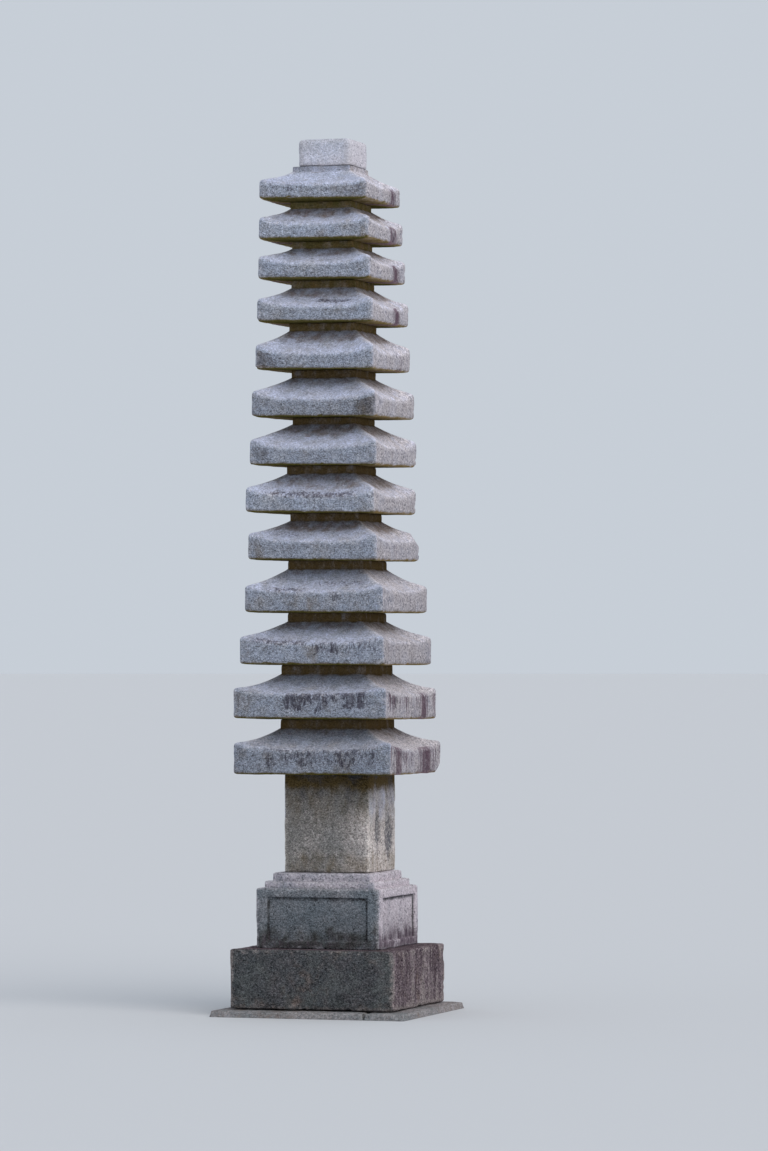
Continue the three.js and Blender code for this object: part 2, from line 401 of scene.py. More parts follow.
def build(name, points, marks, material):
    """One closed mesh from a grid of points, with its marks, riding on the body called root."""
    rings, columns = points.shape[:2]
    index = np.arange(rings * columns).reshape(rings, columns)
    beside = np.roll(index, -1, axis=1)
    quads = np.stack([index[:-1], beside[:-1], beside[1:], index[1:]], axis=-1).reshape(-1, 4)
    foot, top = rings * columns, rings * columns + 1
    fan_foot = np.column_stack([beside[0], index[0], np.full(columns, foot)])
    fan_top = np.column_stack([index[-1], beside[-1], np.full(columns, top)])
    corners = np.vstack([points.reshape(-1, 3), points[0].mean(axis=0), points[-1].mean(axis=0)])
    mesh = bpy.data.meshes.new(name)
    mesh.from_pydata(corners.tolist(), [], quads.tolist() + fan_foot.tolist() + fan_top.tolist())
    mesh.shade_smooth()
    for mark in MARKS:
        value = np.broadcast_to(marks.get(mark, 0.0), (rings, columns))
        flat = np.concatenate([value.ravel(), [value[0].mean(), value[-1].mean()]])
        mesh.attributes.new(mark, "FLOAT", "POINT").data.foreach_set("value", flat.astype(np.float32))
    mesh.materials.append(material)
    piece = bpy.data.objects.new(name + "_stone", mesh)
    bpy.context.scene.collection.objects.link(piece)
    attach(piece, "root")
    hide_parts(name)
    pieces[name] = piece
    low, high = (np.array(corner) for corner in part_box(name))
    gap = max(np.abs(corners.min(axis=0) - low).max(), np.abs(corners.max(axis=0) - high).max())
    print(name, "faces:", len(mesh.polygons), "mm from the solid's box:", round(1000 * gap, 1))
    return piece


# %% [markdown]
# ## Materials are made of nodes
# A few helpers keep the node code short. add() makes one node: a value that is a socket is linked, and
# anything else is set. A node group is a tool that several materials share, with named inputs and
# outputs, and each material uses it with its own numbers.

# %% Node helpers
def add(tree, kind, inputs=None, **settings):
    """One node with its settings. Inputs that are sockets are linked, and the others are set."""
    made = tree.nodes.new(kind)
    for key, value in settings.items():
        setattr(made, key, value)
    for key, value in (inputs or {}).items():
        if isinstance(value, bpy.types.NodeSocket):
            tree.links.new(value, made.inputs[key])
        else:
            made.inputs[key].default_value = value
    return made


def reckon(tree, operation, *values, clamp=False):
    """A Math node's result."""
    made = add(tree, "ShaderNodeMath", dict(enumerate(values)), operation=operation, use_clamp=clamp)
    return made.outputs[0]


def remap(tree, value, low, high, first=0.0, last=1.0, **settings):
    """A Map Range node's result: first where the value is low, last where it is high."""
    inputs = {0: value, 1: low, 2: high, 3: first, 4: last}
    return add(tree, "ShaderNodeMapRange", inputs, **settings).outputs[0]


def stretch_space(tree, position, factors):
    """A Vector Math node that multiplies a position by a factor for each axis."""
    return add(tree, "ShaderNodeVectorMath", {0: position, 1: factors}, operation="MULTIPLY").outputs[0]


def cloud(tree, **inputs):
    """A Noise Texture's value. The inputs go by the names of its sockets."""
    return add(tree, "ShaderNodeTexNoise", inputs).outputs[0]


def grey(tree, value):
    """A grey colour with this value."""
    return add(tree, "ShaderNodeCombineColor", {0: value, 1: value, 2: value}).outputs[0]


def blend(tree, factor, first, second, mode="MIX"):
    """A Mix node for colours. Its colour sockets are numbers 6 and 7, and its result is number 2."""
    inputs = {0: factor, 6: first, 7: second}
    return add(tree, "ShaderNodeMix", inputs, data_type="RGBA", blend_type=mode).outputs[2]


def new_group(name, inputs, outputs):
    """An empty node group with named sockets: its tree, its input sockets and its output sockets."""
    tree = bpy.data.node_groups.new(name, "ShaderNodeTree")
    for direction, sockets in (("INPUT", inputs), ("OUTPUT", outputs)):
        for socket, kind in sockets.items():
            tree.interface.new_socket(socket, in_out=direction, socket_type="NodeSocket" + kind)
    return tree, tree.nodes.new("NodeGroupInput").outputs, tree.nodes.new("NodeGroupOutput").inputs


# %% [markdown]
# ## Granite
# Granite is crystals: pale feldspar, grey quartz and specks of black mica, here about 7 mm across. A
# Voronoi texture cuts space into such cells and gives each one random numbers, and those pick its
# mineral. Far away the crystals blur, so a larger noise makes patches that are lighter and darker, and
# the thin lines where a winding noise crosses its middle make dark crinkles. Both are a little flatter
# than they are wide, as on the real stone.

# %% Granite group
BODY_SHARE = 0.62
FLATTEN = (1.0, 1.0, 1.35)


def granite_group():
    """The colour of the crystals, their height, and a gain for the colour of everything on them: it is
    lighter and darker from patch to patch, and dark in the crinkles."""
    inputs = {
        "Position": "Vector", "Grain": "Float", "Pale": "Color", "Body": "Color", "Dark": "Color",
        "Dark Share": "Float", "Mottle": "Float", "Crinkle": "Float",
    }
    outputs = {"Color": "Color", "Gain": "Color", "Height": "Float"}
    tree, given, result = new_group("granite_crystals", inputs, outputs)
    fineness = reckon(tree, "DIVIDE", 1.0, given["Grain"])
    cells = add(tree, "ShaderNodeTexVoronoi", {"Vector": given["Position"], "Scale": fineness})
    pick = add(tree, "ShaderNodeSeparateColor", {0: cells.outputs["Color"]}).outputs
    mineral = blend(tree, reckon(tree, "GREATER_THAN", pick[0], BODY_SHARE), given["Body"], given["Pale"])
    is_dark = reckon(tree, "LESS_THAN", pick[1], given["Dark Share"])
    tree.links.new(blend(tree, is_dark, mineral, given["Dark"]), result["Color"])

    flat = stretch_space(tree, given["Position"], FLATTEN)
    coarse = reckon(tree, "MULTIPLY", fineness, 0.85)
    patches = cloud(tree, Vector=flat, Scale=coarse, Detail=4.0, Roughness=0.70, Distortion=0.9)
    broad = cloud(tree, Vector=flat, Scale=20.0, Detail=2.0)
    both = reckon(tree, "MULTIPLY_ADD", broad, 0.12, reckon(tree, "MULTIPLY", patches, 0.98))
    light = remap(tree, both, 0.40, 0.70, -1.0, 1.0)
    mottled = reckon(tree, "MULTIPLY_ADD", light, given["Mottle"], 1.05)

    half_fine = reckon(tree, "MULTIPLY", fineness, 0.5)
    winding = cloud(tree, Vector=flat, Scale=half_fine, Detail=2.0, Roughness=0.6, Distortion=1.2)
    from_middle = reckon(tree, "ABSOLUTE", reckon(tree, "SUBTRACT", winding, 0.5))
    crease = remap(tree, from_middle, 0.0, 0.06, 1.0, 0.0)
    darkened = reckon(tree, "MULTIPLY", crease, given["Crinkle"])
    gain = reckon(tree, "MULTIPLY", mottled, reckon(tree, "SUBTRACT", 1.0, darkened))
    tree.links.new(grey(tree, gain), result["Gain"])
    tree.links.new(reckon(tree, "MULTIPLY_ADD", pick[2], 0.35, patches), result["Height"])
    return tree


GRANITE = granite_group()
print("granite nodes:", len(GRANITE.nodes))

# %% [markdown]
# ## Stains, lichen and moss
# All of them spread in the same way: they cover more where a mark painted on the stone is strong, and
# noise breaks up their rim. So one group serves them all. It adds the mark to the noise and takes what
# is above one. Stretching the noise along the height turns patches into the runs that rain leaves.

# %% Patches group
def patches_group():
    """A mask from 0 to 1: where mark plus noise passes one, with a rim as wide as Softness. Where there
    is no mark there is no mask either."""
    inputs = {
        "Position": "Vector", "Amount": "Float", "Size": "Float", "Stretch": "Float", "Curl": "Float",
        "Softness": "Float",
    }
    tree, given, result = new_group("spreading_patches", inputs, {"Mask": "Float"})
    across = reckon(tree, "DIVIDE", 1.0, given["Size"])
    upward_scale = reckon(tree, "DIVIDE", across, given["Stretch"])
    scale = add(tree, "ShaderNodeCombineXYZ", {0: across, 1: across, 2: upward_scale})
    spot = stretch_space(tree, given["Position"], scale.outputs[0])
    patchy = cloud(tree, Vector=spot, Scale=1.0, Detail=4.0, Roughness=0.6, Distortion=given["Curl"])
    total = reckon(tree, "ADD", remap(tree, patchy, 0.28, 0.72), given["Amount"])
    half_rim = reckon(tree, "MULTIPLY", given["Softness"], 0.5)
    low, high = reckon(tree, "SUBTRACT", 1.0, half_rim), reckon(tree, "ADD", 1.0, half_rim)
    mask = remap(tree, total, low, high, interpolation_type="SMOOTHSTEP")
    some = reckon(tree, "MULTIPLY", given["Amount"], 6.0, clamp=True)
    tree.links.new(reckon(tree, "MULTIPLY", mask, some), result["Mask"])
    return tree


PATCHES = patches_group()
print("patches nodes:", len(PATCHES.nodes))

# %% [markdown]
# ## One recipe, six finishes
# Every block is granite that has stood outside for a long time, so all the materials are layered in the
# same order: bare granite, a film of algae with lichen, the pale skin of slopes that the rain washes,
# black crusts, the ochre and the moss of surfaces that rain never reaches, dark grime, the dark hooks
# and runs below a dripping edge, and last the rub of worn edges. Several layers also carry painted light
# and shade: the film paints the blue-grey of shaded sides, the ochre, the moss and the grime paint
# darkness under the roofs and in recesses, and the clean and worn layers paint light on slopes, hips and
# edges. Only the numbers differ, and a finish names only those in which it differs from the plain stone
# of the roofs.

# %% Finishes
# The film's blue-grey and the clean skin's blue are partly painted shade and sky light; the very dark ochre,
# moss and grime are partly painted shade.
PLAIN = {
    "pale": (0.47, 0.435, 0.45), "body": (0.35, 0.322, 0.336), "dark": (0.18, 0.168, 0.182),
    "film_and_shade": (0.318, 0.362, 0.490), "lichen": (0.19, 0.225, 0.25), "clean": (0.52, 0.56, 0.73),
    "crust": (0.085, 0.082, 0.090), "ochre": (0.106, 0.067, 0.018), "moss": (0.062, 0.054, 0.016),
    "grime_and_shade": (0.172, 0.132, 0.114), "hooks": (0.042, 0.036, 0.052), "drip": (0.102, 0.066, 0.086),
    "worn": (0.50, 0.49, 0.53), "grain": 0.0070, "mottle": 0.43, "dark_share": 0.14, "crinkle": 0.85,
}
FINISHES = {
    "footing_granite": {
        "pale": (0.42, 0.38, 0.39), "body": (0.31, 0.28, 0.29), "film_and_shade": (0.19, 0.195, 0.19),
        "worn": (0.40, 0.39, 0.39),
    },
    "plinth_granite": {
        "pale": (0.22, 0.18, 0.195), "body": (0.135, 0.105, 0.12), "dark": (0.05, 0.04, 0.05),
        "film_and_shade": (0.060, 0.070, 0.082), "lichen": (0.075, 0.086, 0.086), "clean": (0.12, 0.13, 0.13),
        "crust": (0.030, 0.026, 0.030), "drip": (0.056, 0.040, 0.048), "worn": (0.34, 0.30, 0.29),
        "mottle": 0.90,
    },
    "base_granite": {
        "pale": (0.58, 0.53, 0.575), "body": (0.49, 0.44, 0.485), "dark": (0.22, 0.20, 0.22),
        "film_and_shade": (0.150, 0.184, 0.240), "lichen": (0.110, 0.128, 0.120), "moss": (0.042, 0.046, 0.022),
        "grime_and_shade": (0.050, 0.048, 0.050), "drip": (0.11, 0.08, 0.105), "mottle": 0.50, "dark_share": 0.08,
    },
    "body_granite": {
        "pale": (0.57, 0.52, 0.505), "body": (0.46, 0.41, 0.395), "dark": (0.20, 0.18, 0.17),
        "film_and_shade": (0.215, 0.215, 0.222), "lichen": (0.14, 0.145, 0.13), "crust": (0.060, 0.060, 0.075),
        "ochre": (0.105, 0.070, 0.022), "grime_and_shade": (0.085, 0.085, 0.100), "worn": (0.56, 0.53, 0.50),
        "mottle": 0.55,
    },
    "roof_granite": {},
    "finial_base_granite": {
        "pale": (0.70, 0.67, 0.72), "body": (0.62, 0.59, 0.64), "dark": (0.36, 0.35, 0.39),
        "film_and_shade": (0.61, 0.66, 0.81), "lichen": (0.43, 0.47, 0.52), "crust": (0.22, 0.22, 0.25),
        "mottle": 0.27, "dark_share": 0.10,
    },
}
print("finishes:", len(FINISHES))

# %% [markdown]
# ## Layer upon layer
# A picture could be painted for each stone, but layers fit every shape. Each has a mark that says where
# it grows, the size and rim of its patches, and a colour that a Mix node lays over what is below. Last
# come the gain of the crystals and a tone, because light and dark go through all the layers.

# %% Layers
LAYERS = (
    # mark, colour, size in metres, stretch upward, curl, softness of the rim, strength
    ("lichen", "film_and_shade", 0.120, 1.0, 0.0, 2.20, 0.93),
    ("lichen", "lichen", 0.010, 1.0, 0.8, 0.60, 0.50),
    ("clean", "clean", 0.060, 1.0, 0.0, 2.00, 0.95),
    ("crust", "crust", 0.012, 0.60, 1.4, 0.50, 0.78),
    ("ochre", "ochre", 0.045, 2.5, 0.0, 2.00, 0.95),
    ("moss", "moss", 0.050, 1.0, 0.0, 1.50, 1.00),
    ("grime_and_shade", "grime_and_shade", 0.050, 1.0, 0.0, 1.00, 0.88),
    ("hooks", "hooks", 0.012, 2.8, 1.0, 0.50, 0.80),
    ("drip", "drip", 0.014, 8.0, 0.0, 1.00, 0.92),
    ("worn", "worn", 0.020, 1.0, 0.0, 0.80, 0.55),
)
CLEAN_EVENS = 0.35
BUMP_STRENGTH = 0.9
BUMP_DEPTH = 7 * MM


def mark_value(tree, name):
    """The number that a mesh keeps at each point under this name."""
    return add(tree, "ShaderNodeAttribute", attribute_name=name).outputs["Fac"]


def with_alpha(colour):
    """The colour, opaque."""
    return (*colour, 1.0)


def weathered_granite(name, finish):
    """Granite under all of LAYERS, then times its gain and one plus its tone, with pits as bump."""
    values = {**PLAIN, **finish}
    material = bpy.data.materials.new(name)
    material.use_nodes = True
    tree = material.node_tree
    shader = tree.nodes["Principled BSDF"]
    shader.inputs["Specular IOR Level"].default_value = 0.0
    position = add(tree, "ShaderNodeTexCoord").outputs["Object"]
    crystals = {
        "Position": position, "Grain": values["grain"], "Mottle": values["mottle"],
        "Pale": with_alpha(values["pale"]), "Body": with_alpha(values["body"]),
        "Dark": with_alpha(values["dark"]), "Dark Share": values["dark_share"],
        "Crinkle": reckon(tree, "MULTIPLY", mark_value(tree, "lichen"), values["crinkle"], clamp=True),
    }
    granite = add(tree, "ShaderNodeGroup", crystals, node_tree=GRANITE).outputs
    colour = granite["Color"]
    for mark, paint, size, stretch, curl, softness, strength in LAYERS:
        inputs = {
            "Position": position, "Amount": mark_value(tree, mark), "Size": size, "Stretch": stretch,
            "Curl": curl, "Softness": softness,
        }
        mask = add(tree, "ShaderNodeGroup", inputs, node_tree=PATCHES).outputs["Mask"]
        colour = blend(tree, reckon(tree, "MULTIPLY", mask, strength), colour, with_alpha(values[paint]))
    evened = reckon(tree, "MULTIPLY", mark_value(tree, "clean"), -CLEAN_EVENS)
    unevenness = reckon(tree, "ADD", evened, 1.0, clamp=True)
    colour = blend(tree, unevenness, colour, granite["Gain"], "MULTIPLY")
    tone = reckon(tree, "ADD", mark_value(tree, "tone"), 1.0)
    colour = blend(tree, 1.0, colour, grey(tree, tone), "MULTIPLY")
    tree.links.new(colour, shader.inputs["Base Color"])
    pits = cloud(tree, Vector=position, Scale=70.0, Detail=5.0, Roughness=0.65)
    tree.links.new(remap(tree, pits, 0.3, 0.7, 0.82, 0.97), shader.inputs["Roughness"])
    relief = reckon(tree, "MULTIPLY_ADD", granite["Height"], 0.35, pits)
    bump_inputs = {"Strength": BUMP_STRENGTH, "Distance": BUMP_DEPTH, "Height": relief}
    tree.links.new(add(tree, "ShaderNodeBump", bump_inputs).outputs[0], shader.inputs["Normal"])
    return material


MATERIALS = {name: weathered_granite(name, finish) for name, finish in FINISHES.items()}
print("materials:", sorted(MATERIALS))

# %% [markdown]
# ## Marks that all stones share
# Which way a face looks decides what grows on it. The front and the left of the tower are shaded and
# carry the blue-grey lichen; the right-hand side gets more sun and stays pinker. Part of that blue-grey
# is painted shade: the film also stands for the bluish, darker light on the shaded sides. The back
# repeats the stains of the front and the left those of the right, because the photograph doesn't show
# them. Rain draws its stains out upright, so their noise is taller than it is wide.

# %% Shared marks
FACINGS = np.array([[0, -1], [1, 0], [0, 1], [-1, 0]])
LICHEN_AND_SHADE_BY_SIDE = np.array([0.80, 0.08, 0.80, 0.40])


def side_lichen_and_shade(columns):
    """Amount of lichen, and of the painted shade of shaded sides, for each column, blended over the
    rounded corners.
    """
    share = np.maximum(columns["normal"] @ FACINGS.T, 0) ** 2
    return share @ LICHEN_AND_SHADE_BY_SIDE


def runs(columns, half, streaks):
    """Amount of dripping for each column. A streak is a face, a place from -1 to 1 along it, a width in
    metres and a strength."""
    amount = np.zeros(len(columns["along"]))
    for face, spot, width, strength in streaks:
        streak = strength * (columns["face"] == face) * bump(columns["along"] * half, spot * half, width)
        amount = np.maximum(amount, streak)
    return amount


def downward(points):
    """1 where a face looks down, 0 where it is upright or looks up."""
    return ramp(-outward(points)[..., 2], 0.35, 0.75)


def tall_noise(points, squeeze, size):
    """Noise whose patches are taller than wide, because z is multiplied by squeeze first."""
    return noise(points * np.array([1, 1, squeeze]), size)


def between(value, start, end, soft):
    """1 from start to end and 0 outside, with a ramp as wide as twice soft across each of them."""
    return ramp(value - start, -soft, soft) * ramp(end - value, -soft, soft)


print("lichen on the right side:", side_lichen_and_shade(ROOF_WALK)[120].round(2))

# %% [markdown]
# ## Footing
# The footing is four long kerb stones laid round the plinth, each past the end of the next. On the real
# tower they are sunk almost to their tops, and only a worn rim shows. Each is a flat rectangle, so the
# same outline works with a longer half side along x, and the first kerb, turned by quarter turns, gives
# the other three.

# %% Kerbs
FOOTING_SIDE = 970 * MM
FOOTING_HEIGHT = 36 * MM
KERB_WIDTH = 200 * MM
KERB_JOINT = 3 * MM
KERB_CORNER = 12 * MM


def kerb(quarter):
    """A flat block with soft edges, turned about the tower's axis by a number of quarter turns."""
    half = KERB_WIDTH / 2
    stretch = (FOOTING_SIDE - KERB_WIDTH - KERB_JOINT) / 2 - half
    columns = walk(np.linspace(-1, 1, 60))
    outline = [(half, KERB_CORNER, 0), (half, KERB_CORNER, FOOTING_HEIGHT)]
    rings = block_rings(outline, core=5 * MM, rounding=(3 * MM, 9 * MM), steps=(4, 5, 12))
    points = surface(rings, columns, stretch=(stretch, 0))
    points = points + np.array([-FOOTING_SIDE / 2 + half + stretch, -FOOTING_SIDE / 2 + half, 0])
    for _ in range(quarter):
        points = np.stack([-points[..., 1], points[..., 0], points[..., 2]], axis=-1)
    edge = near_edges(rings, [(half, FOOTING_HEIGHT)], 18 * MM)
    free = ramp(rings["height"], 1 * MM, 12 * MM)
    points = wear(points, edge, free, rub=5 * MM, flake=10 * MM, inward_only=True)
    return points, {
        "grime_and_shade": 0.20 + 0.25 * noise(points, 0.12),
        "worn": edge * 0.6,
        "lichen": 0.35 + 0.3 * noise(points, 0.2),
    }


for quarter, side in enumerate(("front", "right", "back", "left")):
    piece = build("kerb_" + side, *kerb(quarter), MATERIALS["footing_granite"])

# %% [markdown]
# ## Plinth
# The plinth is one heavy block, the darkest stone of the tower. Its front is grey with algae. Its right
# side is purple-brown, with pale upright streaks where water has washed it, and its corner and the top
# edge of its front are paler: partly rubbed, partly a painted highlight. The streaks are hills along the
# side, and noise drawn out upward gives them their fine lines.

# %% Plinth
PLINTH_SIDE = 818 * MM
PLINTH_HEIGHT = 283 * MM
PLINTH_CORNER = 15 * MM
# Place along the side, width and strength of the streaks on the right.
PALE_RUNS = ((-0.30, 0.12, 1.0), (0.18, 0.16, 1.0), (0.93, 0.10, 0.8))
DARK_RUNS = ((-0.62, 0.22, 1.0), (0.55, 0.20, 1.0))


def hills(value, rows):
    """The sum of soft hills, one for each row of (centre, width, strength)."""
    return sum(strength * bump(value, centre, width) for centre, width, strength in rows)


def plinth():
    """A plain block with heavy wear."""
    half = PLINTH_SIDE / 2
    columns = walk(np.linspace(-1, 1, 96))
    outline = [(half, PLINTH_CORNER, 0), (half, PLINTH_CORNER, PLINTH_HEIGHT)]
    rings = block_rings(outline, core=8 * MM, rounding=(12 * MM, 12 * MM), steps=(5, 34, 12))
    upright = near_rim(rings, half, 30 * MM, 4 * MM)
    edge = block_edges(rings, columns, half, PLINTH_HEIGHT, 20 * MM, upright, 8 * MM)
    points = wear(surface(rings, columns), edge, near_rim(rings, half, 60 * MM, 30 * MM))
    points = place(points, FOOTING_HEIGHT)
    return points, plinth_marks(rings, columns, points, edge, upright)


def plinth_marks(rings, columns, points, edge, upright):
    """Algae on the front, pale and dark runs on the right, and a dark top. The pale corner and front edge
    are partly wear and partly a painted highlight.
    """
    on_front, on_right = (columns["face"] == FRONT) * upright, (columns["face"] == RIGHT) * upright
    across = columns["along"] + 0.05 * tall_noise(points, 0.2, 0.05)
    fine = tall_noise(points, 0.10, 0.013) + 0.6 * tall_noise(points, 0.10, 0.030)
    low = 1 - ramp(rings["height"], 0.02, 0.16)
    # Paler corner and top front edge: partly rubbed stone, partly a painted highlight.
    side_edge = edge * ramp(rings["height"], PLINTH_HEIGHT, PLINTH_HEIGHT - 0.03)
    top_edge = near_edges(rings, [(PLINTH_SIDE / 2, PLINTH_HEIGHT)], 9 * MM) * (columns["face"] == FRONT)
    blotches = 0.5 * noise(points, 0.035) + 0.5 * noise(points, 0.09)
    washed_and_lit = on_right * (0.45 * hills(across, PALE_RUNS) + 0.25 * low + 0.48 * fine)
    stained = on_right * np.clip(0.50 * hills(across, DARK_RUNS) - 0.3 * low - 0.50 * fine, 0, 0.75)
    return {
        "lichen": (side_lichen_and_shade(columns) * 1.25 - 0.15) * upright,
        "clean": on_front * np.clip(0.12 + 0.90 * blotches, 0, 0.8),
        "worn": np.clip(side_edge * (1.0 - 0.50 * on_front) + 0.40 * top_edge + washed_and_lit, 0, 0.9),
        "drip": stained + 0.45 * (1 - upright) * (1 - top_edge),
        "crust": 0.20 * upright,
        "grime_and_shade": 0.10 + 0.2 * noise(points, 0.15),
    }


piece = build("plinth", *plinth(), MATERIALS["plinth_granite"])

# %% [markdown]
# ## Base stone
# The base stone has a sunk panel on each face, framed by stiles and rails, and two steps on its top.
# The grid gets extra rings and columns at the rim of the panel, and every point inside the rim is
# pushed in by the panel's depth. That is how a mason does it too: the frame is what was left standing.

# %% Base stone
BASE_SIDE = 617 * MM
BASE_HEIGHT = 287 * MM
BASE_FOOT = FOOTING_HEIGHT + PLINTH_HEIGHT
BASE_CORNER = 8 * MM
STEP_SIDES = (553 * MM, 490 * MM)
STEP_HEIGHTS = (32 * MM, 40 * MM)
PANEL_STILE = 58 * MM
PANEL_RAILS = (38 * MM, 43 * MM)
PANEL_DEPTH = 12 * MM
PANEL_RIM = 2 * MM
PANEL_HALF = BASE_SIDE / 2 - PANEL_STILE
PANEL_LOW, PANEL_HIGH = PANEL_RAILS[0], BASE_HEIGHT - PANEL_RAILS[1]


def base_rings():
    """Rings of the stepped block, with rings on both sides of the panels' level rims, and its edges."""
    half, low_half, high_half = BASE_SIDE / 2, STEP_SIDES[0] / 2, STEP_SIDES[1] / 2
    first_top = BASE_HEIGHT + STEP_HEIGHTS[0]
    top = first_top + STEP_HEIGHTS[1]
    rims = [level + sign * 1.5 * PANEL_RIM for level in (PANEL_LOW, PANEL_HIGH) for sign in (-1, 1)]
    outline = [(half, BASE_CORNER, height) for height in (0, *rims, BASE_HEIGHT)]
    outline += [(low_half, BASE_CORNER, BASE_HEIGHT), (low_half, BASE_CORNER, first_top)]
    outline += [(high_half, BASE_CORNER, first_top), (high_half, BASE_CORNER, top)]
    rounding = (8 * MM, 0, 0, 0, 0, 12 * MM, 4 * MM, 9 * MM, 4 * MM, 9 * MM)
    rings = block_rings(outline, 8 * MM, rounding, steps=(4, 5, 3, 24, 3, 5, 2, 3, 3, 4, 6))
    return rings, [(half, 0), (half, BASE_HEIGHT), (low_half, first_top), (high_half, top)]


def base_stone():
    """A stepped block with a panel sunk into each face."""
    half, flat_half = BASE_SIDE / 2, BASE_SIDE / 2 - BASE_CORNER
    rim_places = (PANEL_HALF + PANEL_RIM * np.array([-1.5, -0.5, 0.5, 1.5])) / flat_half
    columns = walk(np.unique(np.concatenate([np.linspace(-1, 1, 76), rim_places, -rim_places])))
    rings, edges = base_rings()
    points = surface(rings, columns)
    along = np.abs(columns["along"]) * flat_half
    inside = ramp(PANEL_HALF - along, -PANEL_RIM, PANEL_RIM) * (rings["half"] > half - MM)
    inside = inside * between(rings["height"], PANEL_LOW, PANEL_HIGH, PANEL_RIM)
    sunk = np.concatenate([columns["normal"], np.zeros((len(along), 1))], axis=1)
    points = points - (PANEL_DEPTH * inside)[..., None] * sunk
    upright_edge = near_corner(columns, half, 8 * MM) * ramp(rings["height"], 0, 10 * MM)
    edge = np.maximum(near_edges(rings, edges, 12 * MM), upright_edge)
    points = wear(points, edge, near_rim(rings, STEP_SIDES[1] / 2, 20 * MM, 8 * MM))
    points = place(points, BASE_FOOT)
    return points, base_marks(rings, columns, points, edge, inside, along)


def base_marks(rings, columns, points, edge, inside, along):
    """Moss climbs from the foot, dirt and painted shade lie in the panels beside the stiles and under the
    top rail, and the steps stay clean.
    """
    height = rings["height"]
    on_right, below_steps = columns["face"] == RIGHT, ramp(BASE_HEIGHT - height, -0.01, 0.01)
    uneven = 0.030 * noise(points, 0.06) - 0.022 * columns["along"] * on_right
    foot_moss = 1 - ramp(height + uneven, 0.030, 0.125)
    # Darker along the panels' inner rims, beside the stiles and under the top rail: partly dirt, partly
    # painted shade of the recess.
    beside_stile = bump(along, PANEL_HALF - 4 * MM, 6 * MM)
    under_rail = bump(height, PANEL_HIGH - 5 * MM, 8 * MM)
    recess_dirt_and_shade = np.maximum(beside_stile, under_rail) * inside
    # The front gets extra film, grime, moss and crust and a near-black foot: partly growth, partly painted
    # shade.
    front = (columns["face"] == FRONT) * below_steps
    runs_down = tall_noise(points, 0.15, 0.02)
    on_edge = near_corner(columns, BASE_SIDE / 2, 14 * MM) * on_right * below_steps
    grown = 0.72 * front + 0.25 * recess_dirt_and_shade + 0.20 * on_edge + 0.10 * runs_down
    return {
        "lichen": side_lichen_and_shade(columns) * 0.35 + grown,
        "drip": foot_moss * (0.70 + 0.30 * noise(points, 0.05)) * (1 - 0.75 * front),
        "grime_and_shade": recess_dirt_and_shade * (0.95 - 0.25 * front) + 0.16 * foot_moss + 0.50 * foot_moss * front,
        "tone": -0.20 * ramp(0.24 - height, 0, 0.14) * inside + 0.10 * front,
        "moss": 0.45 * foot_moss * front,
        "crust": np.clip(0.10 * runs_down, 0, 1) + 0.16 * front,
        "worn": edge * 0.5,
    }


piece = build("base_stone", *base_stone(), MATERIALS["base_granite"])

# %% [markdown]
# ## First-storey body
# The body is a plain shaft under the widest roof. The eave keeps its upper end dry, so an ochre film
# stays there, and below it water has drawn dark upright stains. Two dark blots sit on its right side.
# Each is a hill along the side times a hill up it, because a blot has no sharp rim.

# %% First-storey body
BODY_SIDE = 424 * MM
BODY_HEIGHT = 468 * MM
BODY_CORNER = 9 * MM
BODY_SLIP = 16 * MM
BODY_FOOT = BASE_FOOT + BASE_HEIGHT + sum(STEP_HEIGHTS)
BODY_STREAKS = (
    (RIGHT, -0.5, 0.03, 0.30), (RIGHT, 0.62, 0.030, 0.45), (FRONT, 0.7, 0.05, 0.4), (FRONT, -0.3, 0.07, 0.4),
)
# Strength of a blot, its place along the side and width, and its height and how tall it is, in metres.
BODY_BLOTS = ((1.15, -0.35, 0.22, 0.20, 0.09), (1.9, 0.46, 0.24, 0.165, 0.085))


def first_storey_body():
    """A plain shaft with light wear."""
    half = BODY_SIDE / 2
    columns = walk(np.linspace(-1, 1, 64))
    outline = [(half, BODY_CORNER, 0), (half, BODY_CORNER, BODY_HEIGHT)]
    rings = block_rings(outline, core=8 * MM, rounding=(6 * MM, 6 * MM), steps=(5, 58, 12))
    upright = near_rim(rings, half, 20 * MM, 4 * MM)
    edge = block_edges(rings, columns, half, BODY_HEIGHT, 10 * MM, upright)
    points = wear(surface(rings, columns), edge, near_rim(rings, half, 20 * MM, 8 * MM), flake=4 * MM)
    points = place(points, BODY_FOOT, BODY_SLIP)
    return points, body_marks(rings, columns, points, edge, upright)


